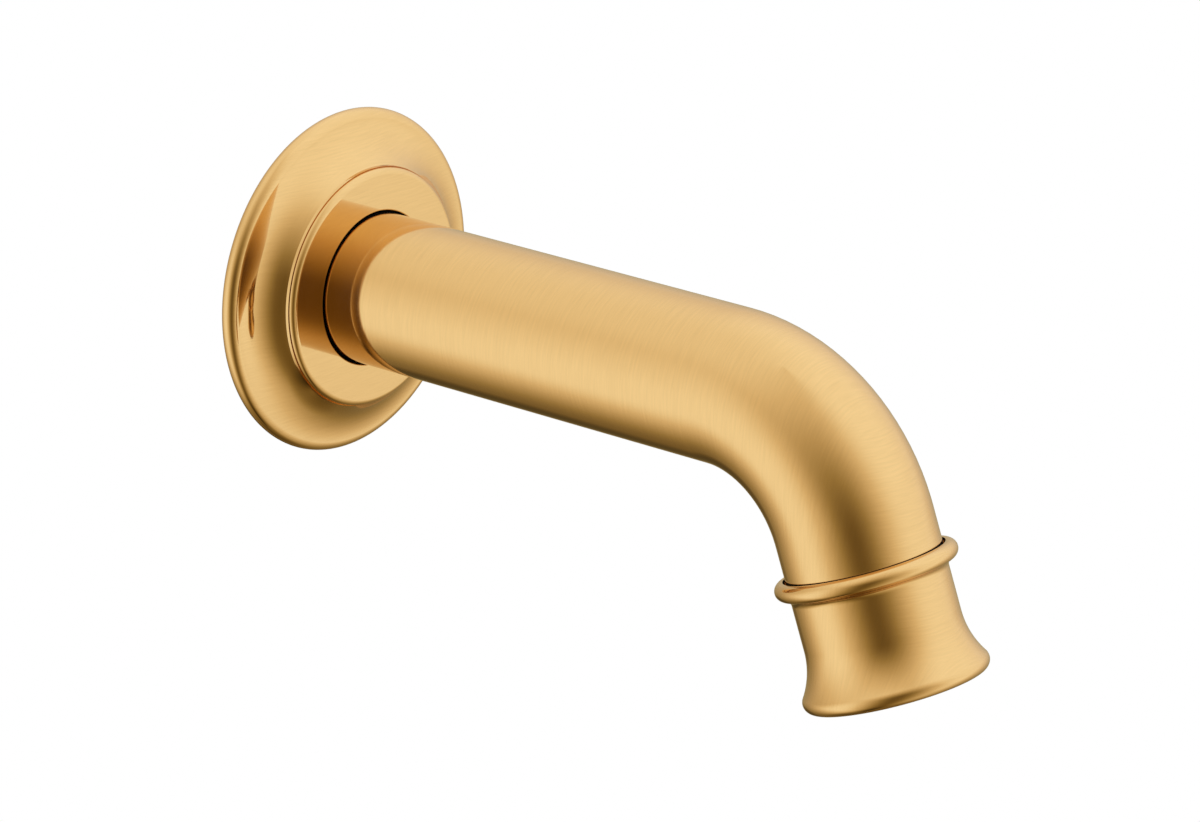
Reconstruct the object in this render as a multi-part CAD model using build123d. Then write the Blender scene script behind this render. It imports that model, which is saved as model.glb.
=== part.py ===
from build123d import *
import os
from math import asin, atan2, cos, degrees, hypot, radians, sin, sqrt

# Wall spout with a stepped round flange, one bent tube and a turned outlet bell.
# Millimetres. The wall is the XZ plane, the inlet axis is Y, and the spout reaches out along -Y, +Z up.

# Bent tube
tube_d = 32.0
tube_wall = 2.0
straight_length = 105.0
bend_radius = 33.5
bend_angle = 70.0
leg_length = 8.93

# Wall flange, from the tube outwards
flange_gap = 0.45
collar_land = 7.95
shoulder_radius = 1.04
collar_step = 0.3
ledge_width = 0.35
lower_step = 0.74
rise_radius = 16.5
rise_slope = 51.5
cove_radius = 10.6
cove_slope = 44.0
rim_height = 4.04
flange_wall = 2.2
collar_plate = 3.2
boss_wall = 3.0
boss_recess = 2.0

# Rubber ring in the flange's bore
o_ring_section = 2.4
o_ring_squeeze = 0.3
o_ring_width = 2.5
o_ring_corner = 0.6
groove_width = 3.1
groove_cover = 3.6

# Soft ring against the wall
seal_width = 2.0
seal_depth = 1.2
seal_land = 1.1

# Threaded inlet (female G 1/2, plain bore at the thread's inner diameter)
thread_d = 18.63
thread_length = 15.0
throat_d = 16.0
throat_length = 5.0

# Outlet bell, measured down its own axis from the middle of the bead
bead_rise = 2.65
bead_height = 3.5
bead_fillet = 0.7
joint_gap = 0.42
bell_wall = 2.54
bell_length = 24.87
flare_rise = 3.05
flare_radius = 17.0
lip_radius = 2.0
spigot_length = 8.0
spigot_wall = 2.5
spigot_chamfer = 0.6
mouth_depth = 5.4
mouth_chamfer = 1.4

# Aerator (M28 x 1 thread, plain at its inner diameter)
aerator_d = 26.92
seat_depth = 5.0
washer_thickness = 1.5
washer_overlap = 1.44
cage_wall = 1.6
cage_lip = 1.0
cage_lip_height = 1.5
key_slot_width = 2.4
key_slot_depth = 1.0
key_slots = 4

# Aerator insert, from the water side to the outlet
strainer_rim_height = 1.0
strainer_rise = 3.2
strainer_skin = 0.8
strainer_top_d = 8.0
strainer_slots = 16
strainer_slot_width = 0.9
strainer_slot_margin = 1.2
regulator_height = 3.0
regulator_floor = 1.0
regulator_wall = 1.2
regulator_hub_d = 9.0
regulator_ports = 8
regulator_port_d = 1.6
flow_ring_section = 2.2
jet_floor = 1.5
jet_skirt = 2.4
jet_wall = 1.3
jet_slots = 18
jet_slot_width = 0.8
jet_slot_length = 2.2
jet_slot_margin = 1.1
jet_ring_gap = 1.1
screen_thickness = 0.35
screen_pitch = 2.3
screen_hole = 1.6
straightener_height = 2.0
cell_pitch = 2.9
cell_wall = 0.5
cell_margin = 0.6

# Clearances
fit_gap = 0.02
insert_gap = 0.1

# Sizes that follow from those above
tube_r = tube_d / 2
tube_bore_r = tube_r - tube_wall
flange_bore_r = tube_r + flange_gap
collar_r = flange_bore_r + collar_land
step_r = collar_r + shoulder_radius
ledge_r = step_r + ledge_width
rise_centre_r = ledge_r + rise_radius * sin(radians(rise_slope))
rim_r = rise_centre_r - (rise_radius - cove_radius) * sin(radians(cove_slope))
rim_radius = rim_height / 2
cove_centre_h = rim_height + cove_radius
rise_centre_h = cove_centre_h + (rise_radius - cove_radius) * cos(radians(cove_slope))
rise_end_h = rise_centre_h - rise_radius * cos(radians(rise_slope))
ledge_h = rise_end_h + lower_step
shoulder_h = ledge_h + collar_step
flange_depth = shoulder_h + shoulder_radius
groove_r = tube_r + o_ring_section - o_ring_squeeze
groove_h = flange_depth - groove_cover - groove_width / 2
seal_r = rim_r - seal_land
cavity_r = seal_r - seal_width - seal_land
cavity_h = flange_depth - collar_plate
thread_r = thread_d / 2
aerator_r = aerator_d / 2
neck_r = aerator_r + bell_wall
socket_r = tube_r + joint_gap
bead_r = max(tube_r, neck_r) + bead_rise
bead_radius = ((bead_r - socket_r) ** 2 + (bead_height / 2) ** 2) / (2 * (bead_r - socket_r))
bead_centre_r = bead_r - bead_radius
lip_centre_r = neck_r + flare_rise - lip_radius
lip_centre_s = bell_length - lip_radius
mouth_r = lip_centre_r - lip_radius
mouth_s = bell_length - mouth_depth
cage_s = seat_depth + washer_thickness
cage_r = aerator_r - fit_gap
insert_r = cage_r - cage_wall
washer_r = insert_r - washer_overlap
regulator_s = cage_s + strainer_rim_height
jet_s = regulator_s + regulator_height
screen_s = jet_s + jet_floor + jet_skirt
straightener_s = screen_s + 2 * screen_thickness
lip_s = straightener_s + straightener_height
cage_end_s = lip_s + cage_lip_height


def half_section(points):
    """Straight outline through points given as radius and distance down the axis."""
    return Polyline(*[(r, -s) for r, s in points])


def arc(start, middle, end):
    """Arc of a half-section through three such points."""
    return ThreePointArc(*[(r, -s) for r, s in (start, middle, end)])


def arc_about(centre, radius, start, end):
    """Arc of a half-section about a centre; angles in degrees, from outwards towards the outlet."""
    turns = [radians(turn) for turn in (start, (start + end) / 2, end)]
    return arc(*[(centre[0] + radius * cos(turn), centre[1] + radius * sin(turn)) for turn in turns])


def turned(*lines):
    """Solid turned about the Y axis from a closed half-section."""
    return revolve(make_face(lines), Axis.Y)


def ring(inner_r, outer_r, start, length):
    """Plain turned ring."""
    corners = [(inner_r, start), (outer_r, start), (outer_r, start + length), (inner_r, start + length)]
    return turned(half_section(corners + corners[:1]))


def disc(start, length, sketch):
    """Sketch pushed down the axis from a start distance."""
    return extrude(Plane.XZ.offset(start) * sketch, length)


def wall_flange():
    """Hollow flange: round rim, cove, step and ledge, rounded collar, flat face and a boss with its groove."""
    groove_start = groove_h - groove_width / 2
    groove_end = groove_h + groove_width / 2
    boss_r = groove_r + boss_wall
    inner_radius = cove_radius + flange_wall
    inner_h = cove_centre_h - sqrt(inner_radius**2 - (rim_r - cavity_r) ** 2)
    inner_r = rim_r - sqrt(inner_radius**2 - (cove_centre_h - cavity_h) ** 2)
    inner_start = degrees(atan2(cavity_h - cove_centre_h, inner_r - rim_r))
    inner_end = degrees(atan2(inner_h - cove_centre_h, cavity_r - rim_r))
    back = [
        (cavity_r, inner_h),
        (cavity_r, 0),
        (seal_r - seal_width, 0),
        (seal_r - seal_width, seal_depth),
        (seal_r, seal_depth),
        (seal_r, 0),
        (rim_r, 0),
    ]
    steps = [(ledge_r, rise_end_h), (ledge_r, ledge_h), (step_r, ledge_h), (step_r, shoulder_h)]
    bore_and_boss = [
        (collar_r, flange_depth),
        (flange_bore_r, flange_depth),
        (flange_bore_r, groove_end),
        (groove_r, groove_end),
        (groove_r, groove_start),
        (flange_bore_r, groove_start),
        (flange_bore_r, boss_recess),
        (boss_r, boss_recess),
        (boss_r, cavity_h),
        (inner_r, cavity_h),
    ]
    return turned(
        half_section(back),
        arc_about((rim_r, rim_radius), rim_radius, -90, 90),
        arc_about((rim_r, cove_centre_h), cove_radius, -90, -90 - cove_slope),
        arc_about((rise_centre_r, rise_centre_h), rise_radius, -90 - cove_slope, -90 - rise_slope),
        half_section(steps),
        arc_about((collar_r, shoulder_h), shoulder_radius, 0, 90),
        half_section(bore_and_boss),
        arc_about((rim_r, cove_centre_h), inner_radius, inner_start, inner_end),
    )


def wall_seal():
    """Soft ring in the groove of the flange's back, level with the back."""
    return ring(seal_r - seal_width + fit_gap, seal_r - fit_gap, 0, seal_depth - fit_gap)


def flange_o_ring():
    """Rubber ring squeezed between the tube and the groove in the flange's bore."""
    section = Rectangle(groove_r - tube_r - 2 * fit_gap, o_ring_width)
    section = chamfer(section.vertices(), o_ring_corner)
    return revolve(Pos((groove_r + tube_r) / 2, -groove_h) * section, Axis.Y)


def spout_tube():
    """One tube: straight out of the wall, round the bend and down into the bell."""
    section = Circle(tube_r) - Circle(tube_bore_r)
    bend_start = Plane.XZ.offset(straight_length)
    bend_axis = Axis((0, -straight_length, -bend_radius), (1, 0, 0))
    leg = Pos(0, -straight_length, -bend_radius) * Rot(bend_angle, 0, 0) * Pos(0, 0, bend_radius)
    straight = extrude(Plane.XZ * section, straight_length)
    turn = revolve(bend_start * section, bend_axis, bend_angle)
    return straight + turn + leg * extrude(Plane.XZ * section, leg_length - fit_gap)


def inlet_bush():
    """Brass bush in the wall end of the tube: thread bore, then a narrower throat that stops the pipe."""
    bush_r = tube_bore_r - fit_gap
    bush_length = thread_length + throat_length
    corners = [
        (thread_r, 0),
        (bush_r, 0),
        (bush_r, bush_length),
        (throat_d / 2, bush_length),
        (throat_d / 2, thread_length),
        (thread_r, thread_length),
    ]
    return turned(half_section(corners + corners[:1]))


def outlet_bell():
    """Turned outlet: spigot in the tube, round bead, straight neck, flare, full-round lip and stepped bore."""
    spigot_r = tube_bore_r - fit_gap
    water_r = spigot_r - spigot_wall
    socket_s = -bead_height / 2
    fillet_r = neck_r + bead_fillet
    fillet_s = sqrt((bead_radius + bead_fillet) ** 2 - (fillet_r - bead_centre_r) ** 2)
    touch = bead_radius / (bead_radius + bead_fillet)
    bead_end = (bead_centre_r + (fillet_r - bead_centre_r) * touch, fillet_s * touch)
    fillet_turn = asin((fillet_s - bead_end[1]) / bead_fillet) / 2
    fillet_middle = (fillet_r - bead_fillet * cos(fillet_turn), fillet_s - bead_fillet * sin(fillet_turn))
    flare_r = neck_r + flare_radius
    reach = flare_radius + lip_radius
    flare_s = lip_centre_s - sqrt(reach**2 - (flare_r - lip_centre_r) ** 2)
    flare_turn = asin((lip_centre_s - flare_s) / reach)
    flare_end = (flare_r - flare_radius * cos(flare_turn), flare_s + flare_radius * sin(flare_turn))
    flare_middle = (
        flare_r - flare_radius * cos(flare_turn / 2),
        flare_s + flare_radius * sin(flare_turn / 2),
    )
    return turned(
        half_section(
            [
                (water_r, -spigot_length),
                (spigot_r - spigot_chamfer, -spigot_length),
                (spigot_r, spigot_chamfer - spigot_length),
                (spigot_r, 0),
                (socket_r, 0),
                (socket_r, socket_s),
            ]
        ),
        arc((socket_r, socket_s), (bead_r, 0), bead_end),
        arc(bead_end, fillet_middle, (neck_r, fillet_s)),
        half_section([(neck_r, fillet_s), (neck_r, flare_s)]),
        arc((neck_r, flare_s), flare_middle, flare_end),
        arc(flare_end, (lip_centre_r, bell_length), (mouth_r, lip_centre_s)),
        half_section(
            [
                (mouth_r, lip_centre_s),
                (mouth_r, mouth_s + mouth_chamfer),
                (aerator_r, mouth_s),
                (aerator_r, seat_depth),
                (water_r, seat_depth),
                (water_r, -spigot_length),
            ]
        ),
    )


def aerator_washer():
    """Flat rubber seal between the bell's inner shoulder and the aerator."""
    return ring(washer_r, cage_r, seat_depth + fit_gap, washer_thickness - 2 * fit_gap)


def aerator_cage():
    """Threaded ring with an inner lip below and key slots in its lower edge."""
    corners = [
        (insert_r, cage_s),
        (cage_r, cage_s),
        (cage_r, cage_end_s),
        (insert_r - cage_lip, cage_end_s),
        (insert_r - cage_lip, lip_s),
        (insert_r, lip_s),
    ]
    slot = disc(cage_end_s - key_slot_depth, key_slot_depth, Rectangle(2 * cage_r, key_slot_width))
    half_turn = 180 / (key_slots // 2)
    return turned(half_section(corners + corners[:1])) - [
        Rot(0, half_turn * turn, 0) * slot for turn in range(key_slots // 2)
    ]


def inlet_strainer():
    """Slotted cone with a flat top, on a flat rim that the washer holds down."""
    rim_r = insert_r - insert_gap
    foot_r = washer_r - insert_gap
    top_r = strainer_top_d / 2
    top_s = cage_s - strainer_rise
    corners = [
        (0, top_s),
        (top_r, top_s),
        (foot_r, cage_s),
        (rim_r, cage_s),
        (rim_r, regulator_s),
        (foot_r - strainer_skin, regulator_s),
        (top_r - strainer_skin, top_s + strainer_skin),
        (0, top_s + strainer_skin),
    ]
    slot_start = top_r + strainer_slot_margin
    slot_end = foot_r - strainer_slot_margin
    slot = Pos((slot_start + slot_end) / 2, 0) * Rectangle(slot_end - slot_start, strainer_slot_width)
    slots = [Rot(0, 0, 360 / strainer_slots * turn) * slot for turn in range(strainer_slots)]
    cone = turned(half_section(corners + corners[:1]))
    return cone - [disc(top_s, regulator_s - top_s, each) for each in slots]


def flow_regulator():
    """Round cup with a hub; the elastic ring lies over the ports in its floor."""
    hub_r = regulator_hub_d / 2
    outer_r = insert_r - insert_gap
    channel_r = outer_r - regulator_wall
    floor_s = jet_s - regulator_floor
    corners = [
        (0, regulator_s),
        (hub_r, regulator_s),
        (hub_r, floor_s),
        (channel_r, floor_s),
        (channel_r, regulator_s),
        (outer_r, regulator_s),
        (outer_r, jet_s),
        (0, jet_s),
    ]
    port = Pos((hub_r + channel_r) / 2, 0) * RegularPolygon(regulator_port_d / 2, 8)
    ports = [Rot(0, 0, 360 / regulator_ports * turn) * port for turn in range(regulator_ports)]
    return turned(half_section(corners + corners[:1])) - [disc(floor_s, regulator_floor, each) for each in ports]


def flow_ring():
    """Elastic ring lying on the floor of the regulator's channel, round its hub."""
    hub_r = regulator_hub_d / 2
    section_r = flow_ring_section / 2
    centre_s = jet_s - regulator_floor - section_r - fit_gap
    section = RegularPolygon(section_r, 8, major_radius=False, rotation=22.5)
    return revolve(Pos(hub_r + section_r + insert_gap, -centre_s) * section, Axis.Y)


def jet_plate():
    """Floor with radial slots in two rings, on a skirt that leaves a mixing space."""
    outer_r = insert_r - insert_gap
    inner_r = outer_r - jet_wall
    corners = [
        (0, jet_s),
        (outer_r, jet_s),
        (outer_r, screen_s),
        (inner_r, screen_s),
        (inner_r, jet_s + jet_floor),
        (0, jet_s + jet_floor),
    ]
    slot_r = inner_r - jet_slot_margin - jet_slot_length / 2
    slot = Pos(slot_r, 0) * Rectangle(jet_slot_length, jet_slot_width)
    inner_slot = Pos(-jet_slot_length - jet_ring_gap, 0) * slot
    outer_ring = [Rot(0, 0, 360 / jet_slots * turn) * slot for turn in range(jet_slots)]
    inner_ring = [Rot(0, 0, 720 / jet_slots * turn) * inner_slot for turn in range(jet_slots // 2)]
    plate = turned(half_section(corners + corners[:1]))
    return plate - [disc(jet_s, jet_floor, each) for each in outer_ring + inner_ring]


def mixing_screens():
    """Two mesh discs, one on the other, turned by an eighth of a turn."""
    outer_r = insert_r - insert_gap
    count = 2 * int(outer_r / screen_pitch) + 1
    corner = screen_hole / sqrt(2)
    holes = [
        place * Rectangle(screen_hole, screen_hole)
        for place in GridLocations(screen_pitch, screen_pitch, count, count)
        if hypot(place.position.X, place.position.Y) + corner < outer_r - screen_pitch / 2
    ]
    mesh = Circle(outer_r) - holes
    upper = disc(screen_s, screen_thickness, mesh)
    lower = disc(screen_s + screen_thickness, screen_thickness, Rot(0, 0, 45) * mesh)
    return Compound(children=[upper, lower])


def stream_straightener():
    """Honeycomb disc that sits on the cage's lip, with a lower face that stands in the lip's hole."""
    upper_r = insert_r - insert_gap
    lower_r = insert_r - cage_lip - insert_gap
    body = ring(0, upper_r, straightener_s, straightener_height) + ring(0, lower_r, lip_s, cage_lip_height)
    cell_r = (cell_pitch - cell_wall) / sqrt(3)
    count = 2 * int(upper_r / cell_pitch) + 3
    row_pitch = cell_pitch * sqrt(3) / 2
    places = [
        ((column + row % 2 / 2) * cell_pitch, row * row_pitch)
        for row in range(-count, count + 1)
        for column in range(-count, count + 1)
    ]
    cells = [
        Pos(x, y) * RegularPolygon(cell_r, 6, rotation=30)
        for x, y in places
        if hypot(x, y) + cell_r < lower_r - cell_margin
    ]
    return body - [disc(straightener_s, straightener_height + cage_lip_height, cell) for cell in cells]


# The bell and what it holds are drawn about the Y axis, then set at the tube's lower end
outlet = (
    Pos(0, -straight_length, -bend_radius)
    * Rot(bend_angle, 0, 0)
    * Pos(0, -leg_length, bend_radius)
)
at_wall = [wall_flange, wall_seal, flange_o_ring, spout_tube, inlet_bush]
at_outlet = [
    outlet_bell,
    aerator_washer,
    aerator_cage,
    inlet_strainer,
    flow_regulator,
    flow_ring,
    jet_plate,
    mixing_screens,
    stream_straightener,
]

os.makedirs("parts", exist_ok=True)
for piece in at_wall:
    export_step(piece(), f"parts/{piece.__name__}.step")
for piece in at_outlet:
    export_step(outlet * piece(), f"parts/{piece.__name__}.step")
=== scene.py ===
from math import asin, atan2, cos, hypot, pi, radians, sin, sqrt

import bpy
from bpy.props import FloatProperty, FloatVectorProperty, IntProperty, PointerProperty
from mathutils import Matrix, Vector


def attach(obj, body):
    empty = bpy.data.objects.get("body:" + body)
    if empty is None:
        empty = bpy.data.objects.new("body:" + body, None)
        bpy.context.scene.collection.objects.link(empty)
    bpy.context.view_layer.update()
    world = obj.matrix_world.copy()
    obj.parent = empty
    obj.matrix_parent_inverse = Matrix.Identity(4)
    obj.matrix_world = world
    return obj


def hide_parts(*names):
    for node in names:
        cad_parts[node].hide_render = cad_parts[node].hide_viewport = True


bl_info = {
    "name": "Wall spout looks",
    "version": (1, 0, 0),
    "blender": (4, 5, 0),
    "location": "3D View > Sidebar > Wall spout",
    "description": "Dresses the packed wall spout in brushed gold and sets it in a soft studio",
    "category": "Object",
}

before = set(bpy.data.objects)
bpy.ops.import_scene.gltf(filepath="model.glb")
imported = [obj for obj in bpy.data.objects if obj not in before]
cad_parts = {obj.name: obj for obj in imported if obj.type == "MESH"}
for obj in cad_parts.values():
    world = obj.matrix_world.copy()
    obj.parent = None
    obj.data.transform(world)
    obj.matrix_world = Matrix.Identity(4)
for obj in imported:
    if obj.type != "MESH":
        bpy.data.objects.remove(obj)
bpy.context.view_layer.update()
BODY = "root"
GOLD_NAME = "fine_brushed_gold"
WHITE = (1, 1, 1, 1)

# Colour of the studio's light at each level of its brightness, warmer where it is dim
LIGHT_STOPS = [
    (0.0, (0.0, 0.0, 0.0)),
    (0.17, (0.2, 0.146, 0.055)),
    (0.34, (0.4, 0.328, 0.17)),
    (0.55, (0.645, 0.566, 0.41)),
    (0.76, (0.895, 0.84, 0.73)),
    (0.86, (1.015, 1.01, 0.98)),
    (1.0, (1.18, 1.26, 1.39)),
]


def length(name, description, millimetres):
    """Property for a length that is given in millimetres and kept in metres."""
    return FloatProperty(
        name=name, description=description, default=millimetres / 1000, unit="LENGTH", precision=5
    )


def share(name, description, default):
    """Property for a number from 0 to 1."""
    return FloatProperty(name=name, description=description, default=default, min=0, max=1, subtype="FACTOR")


def angle(name, description, degrees):
    """Property for an angle that is given in degrees."""
    return FloatProperty(name=name, description=description, default=radians(degrees), subtype="ANGLE")


def colour(name, description, default):
    """Property for a colour in linear light."""
    return FloatVectorProperty(
        name=name, description=description, default=default, size=3, min=0, max=1, subtype="COLOR"
    )


def direction(name, description, default):
    """Property for a direction in the row frame."""
    return FloatVectorProperty(
        name=name, description=description, default=default, size=3, subtype="DIRECTION"
    )


def span(name, description, default):
    """Property for the two ends of a range."""
    return FloatVectorProperty(name=name, description=description, default=default, size=2)


class TubeSizes(bpy.types.PropertyGroup):
    """Sizes of the bent tube."""

    diameter: length("Diameter", "Outside diameter of the tube", 32.0)
    wall: length("Wall", "Thickness of the tube's wall", 2.0)
    straight: length("Straight run", "From the wall to the bend", 105.0)
    bend_radius: length("Bend radius", "Radius of the bend at the middle line", 33.5)
    bend_angle: angle("Bend angle", "How far the tube turns down", 70.0)
    leg: length("Leg", "From the bend to the middle of the bead", 8.93)
    fit_gap: length("Fit gap", "Clearance of the brazed joints", 0.02)


class FlangeSizes(bpy.types.PropertyGroup):
    """Sizes of the wall flange, from the tube outwards."""

    gap: length("Gap", "Open gap round the tube", 0.45)
    edge: length("Edge", "Rounding of the bore's edge", 0.3)
    land: length("Collar land", "Width of the flat face round the tube", 7.67)
    shoulder: length("Shoulder", "Rounding of the collar", 1.25)
    step: length("Step", "Straight side under the shoulder", 0.09)
    ledge: length("Ledge", "From the step to the foot of the lower step", 0.28)
    ledge_dip: length("Ledge dip", "How far the ledge falls towards the step", 0.18)
    lower_step: length("Lower step", "Height of the leaning side under the ledge", 0.562)
    lower_lean: length("Lower lean", "How far that side leans out", 0.12)
    cove_radius: length("Cove radius", "Hollow curve above the rim", 10.6)
    cove_turn: angle("Cove turn", "Slope where the hollow curve eases", 44.0)
    rise_radius: length("Rise radius", "Easier hollow curve up to the lower step", 16.5)
    rise_turn: angle("Rise turn", "Slope at the lower step", 52.285)
    rim_height: length("Rim height", "Height of the round rim", 4.0)
    skin: length("Skin", "Thickness behind the cove", 2.2)
    plate: length("Plate", "Thickness of the collar's plate", 3.2)
    boss_wall: length("Boss wall", "Wall of the boss outside the rubber ring's groove", 3.0)
    boss_recess: length("Boss recess", "How far the boss stays back from the wall", 2.0)
    groove_depth: length("Groove depth", "From the tube to the floor of the rubber ring's groove", 2.1)
    groove_width: length("Groove width", "Width of the rubber ring's groove", 3.1)
    groove_cover: length("Groove cover", "From the collar's face to the groove", 3.6)
    seal_width: length("Seal width", "Width of the soft ring's groove", 2.0)
    seal_depth: length("Seal depth", "Depth of the soft ring's groove", 1.2)
    seal_land: length("Seal land", "Metal on each side of the soft ring", 1.1)


class BellSizes(bpy.types.PropertyGroup):
    """Sizes of the outlet bell, down its own axis from the middle of the bead."""

    bead_rise: length("Bead rise", "How far the bead stands out of the tube", 2.65)
    bead_height: length("Bead height", "Height of the bead at the tube", 3.5)
    bead_fillet: length("Bead fillet", "Fillet under the bead", 1.5)
    joint_gap: length("Joint gap", "Open line round the tube at the bead", 0.6)
    relief: length("Relief", "How far the open line runs past the end of the tube", 1.2)
    neck_radius: length("Neck radius", "Outside radius of the straight neck", 16.0)
    height: length("Height", "From the middle of the bead to the end of the lip", 24.86)
    flare_rise: length("Flare rise", "How far the lip stands out of the neck", 3.05)
    flare_radius: length("Flare radius", "Hollow curve from the neck to the lip", 17.0)
    lip: length("Lip", "Radius of the full-round lip", 2.0)
    spigot: length("Spigot", "Length of the spigot inside the tube", 8.0)
    spigot_wall: length("Spigot wall", "Wall of the spigot", 2.5)
    spigot_chamfer: length("Spigot chamfer", "Lead at the spigot's end", 0.6)
    mouth_depth: length("Mouth depth", "Open recess below the aerator's thread", 5.4)
    mouth_chamfer: length("Mouth chamfer", "Cone from the recess to the thread", 1.4)
    aerator_radius: length("Aerator radius", "Bore that takes the aerator", 13.46)
    seat_depth: length("Seat depth", "Shoulder that the washer lies on", 5.0)


class MeshDetail(bpy.types.PropertyGroup):
    """How finely the turned pieces are divided."""

    around: IntProperty(name="Around", description="Faces round a turned piece", default=256, min=24)
    arc_step: angle("Arc step", "Angle between points of a section's arcs", 3.0)
    flare_step: angle("Flare step", "Angle between points of the bell's long flare", 0.75)
    run_step: length("Run step", "Length of a face along the tube", 2.0)


class GoldFinish(bpy.types.PropertyGroup):
    """Brushed gold of the flange, the tube and the bell."""

    base: colour("Gold", "Colour of the metal", (0.79, 0.505, 0.20))
    deep: colour("Deep gold", "Colour along the darker brush lines", (0.69, 0.435, 0.166))
    roughness: share("Roughness", "Blur of the reflections", 0.06)
    roughness_range: share("Roughness range", "How much the brush lines vary it", 0.06)
    pitch: length("Brush pitch", "Distance between brush lines", 0.3)
    run: length("Brush run", "Length of a brush line", 6.0)
    depth: length("Brush depth", "Depth of the brush lines", 0.0006)
    turn: span("Turn", "How far a face looks outwards where its lines turn level", (0.6, 0.8))
    coat: share("Coat", "Thin lacquer over the metal", 0.3)
    coat_roughness: share("Coat roughness", "Blur of the lacquer's shine", 0.5)


class SmallFinishes(bpy.types.PropertyGroup):
    """Colours of the parts that are mostly hidden."""

    brass: colour("Brass", "Turned inlet bush", (0.70, 0.52, 0.25))
    rubber: colour("Rubber", "Rings and washer", (0.03, 0.03, 0.03))
    foam: colour("Foam", "Soft ring against the wall", (0.16, 0.16, 0.17))
    cage: colour("Cage", "Dark moulded cage", (0.20, 0.20, 0.21))
    insert: colour("Insert", "Pale moulded insert", (0.72, 0.73, 0.74))
    steel: colour("Steel", "Mixing screens", (0.62, 0.62, 0.63))


class StudioSettings(bpy.types.PropertyGroup):
    """Camera, floor and light."""

    camera_place: FloatVectorProperty(
        name="Camera place",
        description="Where the camera stands",
        default=(-0.83315, -0.76826, 0.38129),
        size=3,
        subtype="TRANSLATION",
    )
    camera_turn: FloatVectorProperty(
        name="Camera turn",
        description="How the camera is turned",
        default=(radians(70.04), 0, radians(-50.089)),
        size=3,
        subtype="EULER",
    )
    lens: FloatProperty(name="Lens", description="Focal length in millimetres", default=171.08)
    floor_drop: length("Floor drop", "How far the floor lies below the spout", 1600)
    floor_size: length("Floor size", "Side of the floor", 40000)
    floor_colour: colour("Floor colour", "Pale floor", (0.86, 0.86, 0.86))
    shade_heading: angle("Shade heading", "Where the dark side of the room is, from -Y towards +X", -51.0)
    shade_spread: angle("Shade spread", "Half width of the dark side", 45.0)
    shade_depth: share("Shade depth", "How dark the dark side is", 0.828)
    shade_fade: span("Shade fade", "Heights at which the dark side starts and ends to fade", (0.03, 1.25))
    far_heading: angle("Far heading", "Where the dim far side of the room is, from -Y towards +X", 159.0)
    far_spread: angle("Far spread", "Half width of the far side", 72.4)
    far_depth: share("Far depth", "How dim the far side is", 0.406)
    far_fade: span("Far fade", "Heights at which the far side starts and ends to fade", (0, 0.87))
    ground_side: direction("Ground side", "Middle of the dim ground", (0.426, 0.281, -0.86))
    ground_depth: share("Ground depth", "How dim the reflected ground is", 0.822)
    ground_span: span("Ground span", "How squarely it is faced at its edge and its middle", (0.24, 1.2))
    well_side: direction("Well side", "Middle of the dark floor behind the spout", (0.427, 0.663, -0.615))
    well_depth: share("Well depth", "How dark that floor is", 0.55)
    well_span: span("Well span", "How squarely that floor is faced at its edge and its middle", (0.955, 1))
    below_depth: share("Below depth", "How much dimmer it is right below the spout", 0.5)
    below_fade: span("Below fade", "Heights at which that dimness starts and ends to fade", (-1, -0.85))
    dome: share("Dome", "Brightness of the dome between the two lights", 0.895)
    key_side: direction("Key side", "Middle of the wide light", (0.865, -0.463, 0.192))
    key_level: share("Key level", "What the wide light adds to the dome", 0.125)
    key_span: span("Key span", "How squarely that light is faced at its edge and its middle", (-0.21, 0.87))
    fill_side: direction("Fill side", "Middle of the low light", (-0.726, 0.429, -0.537))
    fill_level: share("Fill level", "What the low light adds to the dome", 0.321)
    fill_span: span("Fill span", "How squarely that light is faced at its edge and its middle", (0.354, 1))


class Socket:
    """Output of a shader node that takes part in Python expressions."""

    def __init__(self, graph, output):
        self.graph = graph
        self.output = output

    def maths(self, operation, *values):
        """Math node on this value and others."""
        inputs = dict(enumerate((self,) + values))
        return self.graph.node("ShaderNodeMath", {"operation": operation}, inputs)

    def __add__(self, other):
        return self.maths("ADD", other)

    def __sub__(self, other):
        return self.maths("SUBTRACT", other)

    def __rsub__(self, other):
        return self.graph.node("ShaderNodeMath", {"operation": "SUBTRACT"}, {0: other, 1: self})

    def __mul__(self, other):
        return self.maths("MULTIPLY", other)

    def __truediv__(self, other):
        return self.maths("DIVIDE", other)


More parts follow.
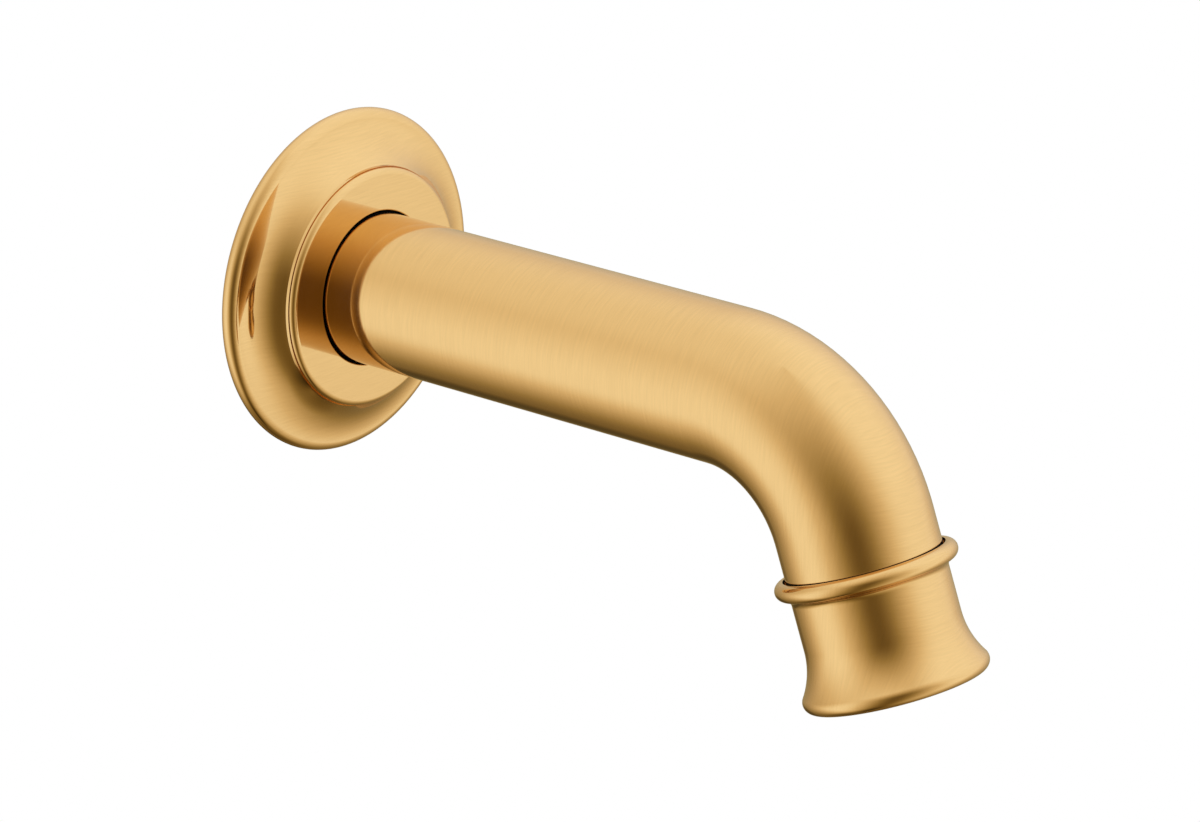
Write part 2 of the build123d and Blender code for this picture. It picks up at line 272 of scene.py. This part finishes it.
class Graph:
    """Node tree that is written from Python."""

    def __init__(self, tree):
        self.tree = tree
        tree.nodes.clear()

    def node(self, kind, settings=None, inputs=None, output=0):
        """Adds a node, sets it up, fills its sockets and gives one of its outputs."""
        made = self.tree.nodes.new(kind)
        for key, value in (settings or {}).items():
            if key == "stops":
                self.set_stops(made.color_ramp, value)
            else:
                setattr(made, key, value)
        for key, value in (inputs or {}).items():
            if isinstance(value, Socket):
                self.tree.links.new(value.output, made.inputs[key])
            else:
                made.inputs[key].default_value = value
        return Socket(self, made.outputs[output]) if made.outputs else made

    def set_stops(self, ramp, stops):
        """Gives a colour ramp its stops."""
        while len(ramp.elements) < len(stops):
            ramp.elements.new(1)
        for element, (position, value) in zip(ramp.elements, stops):
            element.position = position
            element.color = with_alpha(value)

    def split(self, vector):
        """Three values of a vector."""
        parts = self.node("ShaderNodeSeparateXYZ", inputs={0: vector})
        return [Socket(self, output) for output in parts.output.node.outputs]

    def join(self, x, y, z):
        """Vector of three values."""
        return self.node("ShaderNodeCombineXYZ", inputs={0: x, 1: y, 2: z})

    def blend(self, factor, first, second):
        """Mix of two colours."""
        return self.node(
            "ShaderNodeMix", {"data_type": "RGBA"}, {0: factor, 6: first, 7: second}, output=2
        )

    def noise(self, vector, scale=1, detail=2):
        """Noise from 0 to 1."""
        return self.node("ShaderNodeTexNoise", inputs={"Vector": vector, "Scale": scale, "Detail": detail})

    def swing(self, value, middle, width):
        """Value from 0 to 1 as a swing of a given width about a middle."""
        return (value - 0.5) * width + middle

    def ramp(self, value, low, high, to_low=0, to_high=1):
        """Smooth change of a value from one range to another."""
        settings = {"interpolation_type": "SMOOTHSTEP"}
        return self.node("ShaderNodeMapRange", settings, {0: value, 1: low, 2: high, 3: to_low, 4: to_high})

    def bump(self, height, depth):
        """Surface direction over a height from 0 to 1."""
        return self.node("ShaderNodeBump", inputs={"Height": height, "Distance": depth})

    def surface(self, **inputs):
        """Main shader on the material's output; names take spaces for underscores."""
        sockets = {key.replace("_", " "): value for key, value in inputs.items()}
        shader = self.node("ShaderNodeBsdfPrincipled", inputs=sockets)
        self.node("ShaderNodeOutputMaterial", inputs={"Surface": shader})


def new_material(name):
    """Empty node material and its graph."""
    made = bpy.data.materials.new(name)
    made.use_nodes = True
    return made, Graph(made.node_tree)


def with_alpha(value):
    """Colour with a full alpha, as a socket takes it."""
    return (*value, 1)


def darkened(value, part):
    """Colour at a part of its strength."""
    return tuple(part * channel for channel in value)


def brushed_gold(finish):
    """Satin gold with straight brush lines: upright along the spout, level where it faces outwards."""
    found = bpy.data.materials.get(GOLD_NAME)
    if found:
        return found
    made, graph = new_material(GOLD_NAME)
    x, y, z = graph.split(graph.node("ShaderNodeTexCoord", output="Object"))
    _, outwards, _ = graph.split(graph.node("ShaderNodeTexCoord", output="Normal"))
    upright = graph.noise(graph.join(x / finish.run, y / finish.pitch, z / finish.run))
    level = graph.noise(graph.join(x / finish.run, y / finish.run, z / finish.pitch))
    side = graph.ramp(outwards.maths("ABSOLUTE"), *finish.turn)
    line = level * side + upright * (1 - side)
    graph.surface(
        Base_Color=graph.blend(line, with_alpha(finish.base), with_alpha(finish.deep)),
        Metallic=1,
        Roughness=graph.swing(line, finish.roughness, finish.roughness_range),
        Normal=graph.bump(line, finish.depth),
        Coat_Weight=finish.coat,
        Coat_Roughness=finish.coat_roughness,
    )
    return made


def turned_brass(base):
    """Plain brass with the tool's rings on it."""
    rings_per_metre = 6000
    stains_per_metre = 220
    made, graph = new_material("turned_brass")
    place = graph.node("ShaderNodeTexCoord", output="Object")
    x, y, z = graph.split(place)
    reach = (x * x + z * z).maths("SQRT")
    rings = graph.noise(graph.join(reach * rings_per_metre, y * rings_per_metre, 0))
    stain = graph.noise(place, scale=stains_per_metre, detail=4)
    graph.surface(
        Base_Color=graph.blend(stain, with_alpha(base), with_alpha(darkened(base, 0.78))),
        Metallic=1,
        Roughness=graph.swing(rings, middle=0.315, width=0.15),
        Normal=graph.bump(rings, depth=0.000004),
    )
    return made


def moulded(name, base, roughness, grain, depth):
    """Rubber, foam or plastic: a grain over the surface and slow changes of shade."""
    shades_per_metre = 90
    made, graph = new_material(name)
    place = graph.node("ShaderNodeTexCoord", output="Object")
    fine = graph.noise(place, scale=1 / grain, detail=3)
    slow = graph.noise(place, scale=shades_per_metre)
    graph.surface(
        Base_Color=graph.blend(slow, with_alpha(base), with_alpha(darkened(base, 0.82))),
        Roughness=graph.swing(fine, middle=roughness, width=0.18),
        Normal=graph.bump(fine, depth),
    )
    return made


def woven_steel(base):
    """Fine steel mesh: crossed wires in the metal between the holes."""
    wires_per_metre = 9000
    stains_per_metre = 800
    made, graph = new_material("woven_steel")
    place = graph.node("ShaderNodeTexCoord", output="Object")
    x, y, _ = graph.split(place)
    wires = (x * wires_per_metre).maths("SINE") * (y * wires_per_metre).maths("SINE")
    stain = graph.noise(place, scale=stains_per_metre)
    graph.surface(
        Base_Color=graph.blend(wires * 0.5 + 0.5, with_alpha(base), with_alpha(darkened(base, 0.7))),
        Metallic=1,
        Roughness=graph.swing(stain, middle=0.35, width=0.2),
        Normal=graph.bump(wires, depth=0.00002),
    )
    return made


def line(start, end, step=None):
    """Straight run of a section: points as radius and distance along, each with its outward direction."""
    run = hypot(end[0] - start[0], end[1] - start[1])
    outward = ((end[1] - start[1]) / run, (start[0] - end[0]) / run)
    count = max(1, round(run / step)) if step else 1
    points = []
    for index in range(count + 1):
        part = index / count
        points.append((start[0] + (end[0] - start[0]) * part, start[1] + (end[1] - start[1]) * part))
    return [(point, outward) for point in points]


def arc(centre, radius, start, end, step, hollow=False):
    """Round run of a section from one angle to another; a hollow one faces its centre."""
    count = max(2, round(abs(end - start) / step))
    side = -1 if hollow else 1
    points = []
    for index in range(count + 1):
        turn = start + (end - start) * index / count
        point = (centre[0] + radius * cos(turn), centre[1] + radius * sin(turn))
        points.append((point, (side * cos(turn), side * sin(turn))))
    return points


def corners(*points):
    """Straight runs through several points."""
    return [line(start, end) for start, end in zip(points, points[1:])]


def on_middle_line(tube, along):
    """Place on the spout's middle line, its upward side and its heading, at a distance from the wall."""
    bend_length = tube.bend_radius * tube.bend_angle
    turn = min(max(along - tube.straight, 0) / tube.bend_radius, tube.bend_angle)
    heading = Vector((0, -cos(turn), -sin(turn)))
    upward = Vector((0, -sin(turn), cos(turn)))
    bend_centre = Vector((0, -tube.straight, -tube.bend_radius))
    place = bend_centre + upward * tube.bend_radius
    place += heading * (min(along - tube.straight, 0) + max(along - tube.straight - bend_length, 0))
    return place, upward, heading


def bead_place(tube):
    """Distance along the middle line from the wall to the middle of the bead."""
    return tube.straight + tube.bend_radius * tube.bend_angle + tube.leg


def turned_piece(name, runs, tube, offset, around):
    """Closed mesh of a section carried round the middle line, with exact normals."""
    outline = [point for run in runs for point, _ in run[:-1]]
    frames = [on_middle_line(tube, offset + along) for _, along in outline]
    turns = [2 * pi * step / around for step in range(around)]
    vertices = []
    for (radius, _), (place, upward, _) in zip(outline, frames):
        for turn in turns:
            side = Vector((cos(turn), 0, 0)) + upward * sin(turn)
            vertices.append(place + side * radius)
    faces = []
    normals = []
    row = 0
    for run in runs:
        for (_, low_side), (_, high_side) in zip(run, run[1:]):
            next_row = (row + 1) % len(outline)
            for step in range(around):
                beside = (step + 1) % around
                faces.append(
                    (
                        row * around + step,
                        row * around + beside,
                        next_row * around + beside,
                        next_row * around + step,
                    )
                )
                for line_row, side, turn in (
                    (row, low_side, turns[step]),
                    (row, low_side, turns[beside]),
                    (next_row, high_side, turns[beside]),
                    (next_row, high_side, turns[step]),
                ):
                    _, upward, heading = frames[line_row]
                    radial = Vector((cos(turn), 0, 0)) + upward * sin(turn)
                    normals.append(radial * side[0] + heading * side[1])
            row += 1
    mesh = bpy.data.meshes.new(name)
    mesh.from_pydata(vertices, [], faces)
    mesh.polygons.foreach_set("use_smooth", [True] * len(faces))
    mesh.normals_split_custom_set(normals)
    mesh.validate()
    made = bpy.data.objects.new(name, mesh)
    bpy.context.scene.collection.objects.link(made)
    return made


def dress(made, node, material):
    """Lets a new piece stand for its CAD node."""
    made.data.materials.append(material)
    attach(made, BODY)
    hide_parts(node)


class SPOUT_OT_wall_flange(bpy.types.Operator):
    """Turns the stepped wall flange"""

    bl_idname = "spout.wall_flange"
    bl_label = "Wall flange"

    def execute(self, context):
        tube = context.scene.spout_tube
        size = context.scene.spout_flange
        detail = context.scene.spout_detail
        bore_r = tube.diameter / 2 + size.gap
        collar_r = bore_r + size.land
        step_r = collar_r + size.shoulder
        ledge_r = step_r + size.ledge
        lean_r = ledge_r - size.lower_lean
        cove_radius = size.cove_radius
        easing = size.rise_radius - cove_radius
        rise_r = ledge_r + size.rise_radius * sin(size.rise_turn)
        rim_r = rise_r - easing * sin(size.cove_turn)
        rim_radius = size.rim_height / 2
        cove_h = size.rim_height + cove_radius
        rise_h = cove_h + easing * cos(size.cove_turn)
        rise_end_h = rise_h - size.rise_radius * cos(size.rise_turn)
        ledge_h = rise_end_h + size.lower_step
        shoulder_h = ledge_h + size.step
        face_h = shoulder_h + size.shoulder
        groove_r = tube.diameter / 2 + size.groove_depth
        groove_end = face_h - size.groove_cover
        groove_start = groove_end - size.groove_width
        boss_r = groove_r + size.boss_wall
        seal_r = rim_r - size.seal_land
        seal_inner_r = seal_r - size.seal_width
        cavity_r = seal_inner_r - size.seal_land
        cavity_h = face_h - size.plate
        inner_radius = cove_radius + size.skin
        inner_h = cove_h - sqrt(inner_radius**2 - (rim_r - cavity_r) ** 2)
        inner_r = rim_r - sqrt(inner_radius**2 - (cove_h - cavity_h) ** 2)
        step = detail.arc_step
        runs = corners(
            (cavity_r, inner_h),
            (cavity_r, 0),
            (seal_inner_r, 0),
            (seal_inner_r, size.seal_depth),
            (seal_r, size.seal_depth),
            (seal_r, 0),
            (rim_r, 0),
        )
        runs.append(arc((rim_r, rim_radius), rim_radius, -pi / 2, pi / 2, step))
        cove_end = -pi / 2 - size.cove_turn
        rise_end = -pi / 2 - size.rise_turn
        runs.append(arc((rim_r, cove_h), cove_radius, -pi / 2, cove_end, step, hollow=True))
        runs.append(arc((rise_r, rise_h), size.rise_radius, cove_end, rise_end, step, hollow=True))
        runs += corners((ledge_r, rise_end_h), (lean_r, ledge_h))
        runs += corners((lean_r, ledge_h), (step_r, ledge_h - size.ledge_dip), (step_r, shoulder_h))
        runs.append(arc((collar_r, shoulder_h), size.shoulder, 0, pi / 2, step))
        runs += corners((collar_r, face_h), (bore_r + size.edge, face_h))
        runs.append(arc((bore_r + size.edge, face_h - size.edge), size.edge, pi / 2, pi, step))
        runs += corners(
            (bore_r, face_h - size.edge),
            (bore_r, groove_end),
            (groove_r, groove_end),
            (groove_r, groove_start),
            (bore_r, groove_start),
            (bore_r, size.boss_recess),
            (boss_r, size.boss_recess),
            (boss_r, cavity_h),
            (inner_r, cavity_h),
        )
        inner_start = atan2(cavity_h - cove_h, inner_r - rim_r)
        inner_end = atan2(inner_h - cove_h, cavity_r - rim_r)
        runs.append(arc((rim_r, cove_h), inner_radius, inner_start, inner_end, step))
        made = turned_piece("wall_flange_brushed", runs, tube, 0, detail.around)
        dress(made, "wall_flange", brushed_gold(context.scene.spout_gold))
        return {"FINISHED"}


class SPOUT_OT_spout_tube(bpy.types.Operator):
    """Sweeps the bent tube"""

    bl_idname = "spout.spout_tube"
    bl_label = "Spout tube"

    def execute(self, context):
        tube = context.scene.spout_tube
        detail = context.scene.spout_detail
        outer_r = tube.diameter / 2
        bore_r = outer_r - tube.wall
        end = bead_place(tube) - tube.fit_gap
        runs = [
            line((bore_r, 0), (outer_r, 0)),
            line((outer_r, 0), (outer_r, end), detail.run_step),
            line((outer_r, end), (bore_r, end)),
            line((bore_r, end), (bore_r, 0), detail.run_step),
        ]
        made = turned_piece("spout_tube_brushed", runs, tube, 0, detail.around)
        dress(made, "spout_tube", brushed_gold(context.scene.spout_gold))
        return {"FINISHED"}


class SPOUT_OT_outlet_bell(bpy.types.Operator):
    """Turns the outlet bell with its bead and lip"""

    bl_idname = "spout.outlet_bell"
    bl_label = "Outlet bell"

    def execute(self, context):
        tube = context.scene.spout_tube
        size = context.scene.spout_bell
        detail = context.scene.spout_detail
        tube_r = tube.diameter / 2
        neck_r = size.neck_radius
        socket_r = tube_r + size.joint_gap
        socket_s = -size.bead_height / 2
        bead_r = max(tube_r, neck_r) + size.bead_rise
        stand = bead_r - socket_r
        bead_radius = (stand**2 + socket_s**2) / (2 * stand)
        bead_centre_r = bead_r - bead_radius
        fillet_r = neck_r + size.bead_fillet
        reach = bead_radius + size.bead_fillet
        fillet_s = sqrt(reach**2 - (fillet_r - bead_centre_r) ** 2)
        fillet_turn = atan2(fillet_s, fillet_r - bead_centre_r)
        flare_r = neck_r + size.flare_radius
        lip_r = neck_r + size.flare_rise - size.lip
        lip_s = size.height - size.lip
        flare_reach = size.flare_radius + size.lip
        flare_s = lip_s - sqrt(flare_reach**2 - (flare_r - lip_r) ** 2)
        flare_turn = asin((lip_s - flare_s) / flare_reach)
        mouth_r = lip_r - size.lip
        mouth_s = size.height - size.mouth_depth
        spigot_r = tube_r - tube.wall - tube.fit_gap
        water_r = spigot_r - size.spigot_wall
        step = detail.arc_step
        runs = corners(
            (water_r, -size.spigot),
            (spigot_r - size.spigot_chamfer, -size.spigot),
            (spigot_r, size.spigot_chamfer - size.spigot),
            (spigot_r, 0),
            (tube_r, 0),
            (tube_r, size.relief),
            (socket_r, size.relief),
            (socket_r, socket_s),
        )
        bead_start = atan2(socket_s, socket_r - bead_centre_r)
        runs.append(arc((bead_centre_r, 0), bead_radius, bead_start, fillet_turn, step))
        runs.append(
            arc((fillet_r, fillet_s), size.bead_fillet, fillet_turn - pi, -pi, step, hollow=True)
        )
        runs.append(line((neck_r, fillet_s), (neck_r, flare_s)))
        runs.append(
            arc((flare_r, flare_s), size.flare_radius, pi, pi - flare_turn, detail.flare_step, hollow=True)
        )
        runs.append(arc((lip_r, lip_s), size.lip, -flare_turn, pi, step))
        runs += corners(
            (mouth_r, lip_s),
            (mouth_r, mouth_s + size.mouth_chamfer),
            (size.aerator_radius, mouth_s),
            (size.aerator_radius, size.seat_depth),
            (water_r, size.seat_depth),
            (water_r, -size.spigot),
        )
        made = turned_piece("outlet_bell_brushed", runs, tube, bead_place(tube), detail.around)
        dress(made, "outlet_bell", brushed_gold(context.scene.spout_gold))
        return {"FINISHED"}


class SPOUT_OT_small_parts(bpy.types.Operator):
    """Gives the inlet, the seals and the aerator their finishes"""

    bl_idname = "spout.small_parts"
    bl_label = "Small parts"

    def execute(self, context):
        finish = context.scene.spout_small
        rubber = moulded("matt_rubber", finish.rubber, roughness=0.55, grain=0.0004, depth=0.00002)
        insert = moulded("pale_plastic", finish.insert, roughness=0.42, grain=0.0003, depth=0.000006)
        brass = turned_brass(finish.brass)
        foam = moulded("seal_foam", finish.foam, roughness=0.85, grain=0.0005, depth=0.0001)
        cage = moulded("dark_plastic", finish.cage, roughness=0.45, grain=0.0003, depth=0.000008)
        steel = woven_steel(finish.steel)
        finishes = {
            "inlet_bush": brass,
            "flange_o_ring": rubber,
            "aerator_washer": rubber,
            "flow_ring": rubber,
            "wall_seal": foam,
            "aerator_cage": cage,
            "inlet_strainer": insert,
            "flow_regulator": insert,
            "jet_plate": insert,
            "stream_straightener": insert,
            "mixing_screens": steel,
        }
        for node, material in finishes.items():
            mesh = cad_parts[node].data
            mesh.materials.clear()
            mesh.materials.append(material)
        return {"FINISHED"}


class SPOUT_OT_studio(bpy.types.Operator):
    """Sets up the floor, the light and the camera"""

    bl_idname = "spout.studio"
    bl_label = "Studio"

    def execute(self, context):
        studio = context.scene.spout_studio
        self.light_room(context.scene, studio)
        self.lay_floor(context.scene, studio)
        self.set_camera(context.scene, studio)
        context.scene.view_settings.view_transform = "Standard"
        return {"FINISHED"}

    def room(self, graph, studio, towards):
        """Colour of the studio in a direction: a pale dome with dim sides, a dim ground and two lights."""
        x, y, z = graph.split(towards)
        shade = self.side_of_room(graph, x, y, studio.shade_heading, studio.shade_spread)
        shade = shade * graph.ramp(z, *studio.shade_fade, studio.shade_depth, 0)
        far = self.side_of_room(graph, x, y, studio.far_heading, studio.far_spread)
        far = far * graph.ramp(z, *studio.far_fade, studio.far_depth, 0)
        ground = self.facing(x, y, z, studio.ground_side)
        ground = graph.ramp(ground, *studio.ground_span, 0, studio.ground_depth)
        well = self.facing(x, y, z, studio.well_side)
        well = graph.ramp(well, *studio.well_span, 0, studio.well_depth)
        below = graph.ramp(z, *studio.below_fade, studio.below_depth, 0)
        key = self.facing(x, y, z, studio.key_side)
        key = graph.ramp(key, *studio.key_span, 0, studio.key_level)
        fill = self.facing(x, y, z, studio.fill_side)
        fill = graph.ramp(fill, *studio.fill_span, 0, studio.fill_level)
        level = (key + fill + studio.dome) * (1 - shade) * (1 - far)
        level = level * (1 - ground) * (1 - well) * (1 - below)
        return graph.node("ShaderNodeValToRGB", {"stops": LIGHT_STOPS}, {0: level})

    def side_of_room(self, graph, x, y, heading, spread):
        """Soft upright band of the room about a heading."""
        ahead = x * sin(heading) - y * cos(heading)
        aside = x * cos(heading) + y * sin(heading)
        turn = aside.maths("ARCTAN2", ahead) / spread
        return (turn * turn * -1).maths("EXPONENT")

    def facing(self, x, y, z, side):
        """How far a direction faces one side, from -1 to 1."""
        side = Vector(side).normalized()
        return x * side.x + y * side.y + z * side.z

    def light_room(self, scene, studio):
        """World: white to the camera, and the studio's dome to the metal and as light."""
        world = bpy.data.worlds.new("studio")
        world.use_nodes = True
        scene.world = world
        graph = Graph(world.node_tree)
        towards = graph.node("ShaderNodeTexCoord", output="Generated")
        camera = graph.node("ShaderNodeLightPath", output="Is Camera Ray")
        colour_seen = graph.blend(camera, self.room(graph, studio, towards), WHITE)
        shader = graph.node("ShaderNodeBackground", inputs={"Color": colour_seen, "Strength": 1})
        graph.node("ShaderNodeOutputWorld", inputs={"Surface": shader})

    def lay_floor(self, scene, studio):
        """Pale floor far below: white to the camera, and as dim as the ground to the metal."""
        half = studio.floor_size / 2
        drop = -studio.floor_drop
        mesh = bpy.data.meshes.new("floor")
        spots = [(-half, -half, drop), (half, -half, drop), (half, half, drop), (-half, half, drop)]
        mesh.from_pydata(spots, [], [(0, 1, 2, 3)])
        floor = bpy.data.objects.new("floor", mesh)
        scene.collection.objects.link(floor)
        made, graph = new_material("pale_floor")
        mesh.materials.append(made)
        place = graph.node("ShaderNodeNewGeometry", output="Position")
        towards = graph.node("ShaderNodeVectorMath", {"operation": "NORMALIZE"}, {0: place})
        camera = graph.node("ShaderNodeLightPath", output="Is Camera Ray")
        glossy = graph.node("ShaderNodeLightPath", output="Is Glossy Ray")
        through = graph.node("ShaderNodeLightPath", output="Is Transmission Ray")
        seen = graph.blend(glossy, WHITE, self.room(graph, studio, towards))
        lit = graph.node("ShaderNodeBsdfDiffuse", inputs={"Color": with_alpha(studio.floor_colour)})
        shown = graph.node("ShaderNodeEmission", inputs={"Color": seen, "Strength": 1})
        direct = camera.maths("MAXIMUM", glossy).maths("MAXIMUM", through)
        shader = graph.node("ShaderNodeMixShader", inputs={0: direct, 1: lit, 2: shown})
        graph.node("ShaderNodeOutputMaterial", inputs={"Surface": shader})

    def set_camera(self, scene, studio):
        """Camera at the photograph's place."""
        camera = bpy.data.cameras.new("camera")
        camera.lens = studio.lens
        made = bpy.data.objects.new("camera", camera)
        scene.collection.objects.link(made)
        made.location = studio.camera_place
        made.rotation_euler = studio.camera_turn
        scene.camera = made


class SPOUT_PT_looks(bpy.types.Panel):
    """Lists the steps that dress the spout"""

    bl_idname = "SPOUT_PT_looks"
    bl_label = "Wall spout"
    bl_space_type = "VIEW_3D"
    bl_region_type = "UI"
    bl_category = "Wall spout"

    def draw(self, context):
        for operator in OPERATORS:
            self.layout.operator(operator.bl_idname)


GROUPS = {
    "spout_tube": TubeSizes,
    "spout_flange": FlangeSizes,
    "spout_bell": BellSizes,
    "spout_detail": MeshDetail,
    "spout_gold": GoldFinish,
    "spout_small": SmallFinishes,
    "spout_studio": StudioSettings,
}
OPERATORS = [
    SPOUT_OT_wall_flange,
    SPOUT_OT_spout_tube,
    SPOUT_OT_outlet_bell,
    SPOUT_OT_small_parts,
    SPOUT_OT_studio,
]


def register():
    """Adds the settings, the steps and the panel to Blender."""
    for group in GROUPS.values():
        bpy.utils.register_class(group)
    for name, group in GROUPS.items():
        setattr(bpy.types.Scene, name, PointerProperty(type=group))
    for operator in OPERATORS:
        bpy.utils.register_class(operator)
    bpy.utils.register_class(SPOUT_PT_looks)


def unregister():
    """Takes them out again."""
    bpy.utils.unregister_class(SPOUT_PT_looks)
    for operator in reversed(OPERATORS):
        bpy.utils.unregister_class(operator)
    for name in GROUPS:
        delattr(bpy.types.Scene, name)
    for group in reversed(list(GROUPS.values())):
        bpy.utils.unregister_class(group)


def main():
    """Dresses the spout step by step."""
    register()
    bpy.ops.spout.wall_flange()
    bpy.ops.spout.spout_tube()
    bpy.ops.spout.outlet_bell()
    bpy.ops.spout.small_parts()
    bpy.ops.spout.studio()


if __name__ == "__main__":
    main()
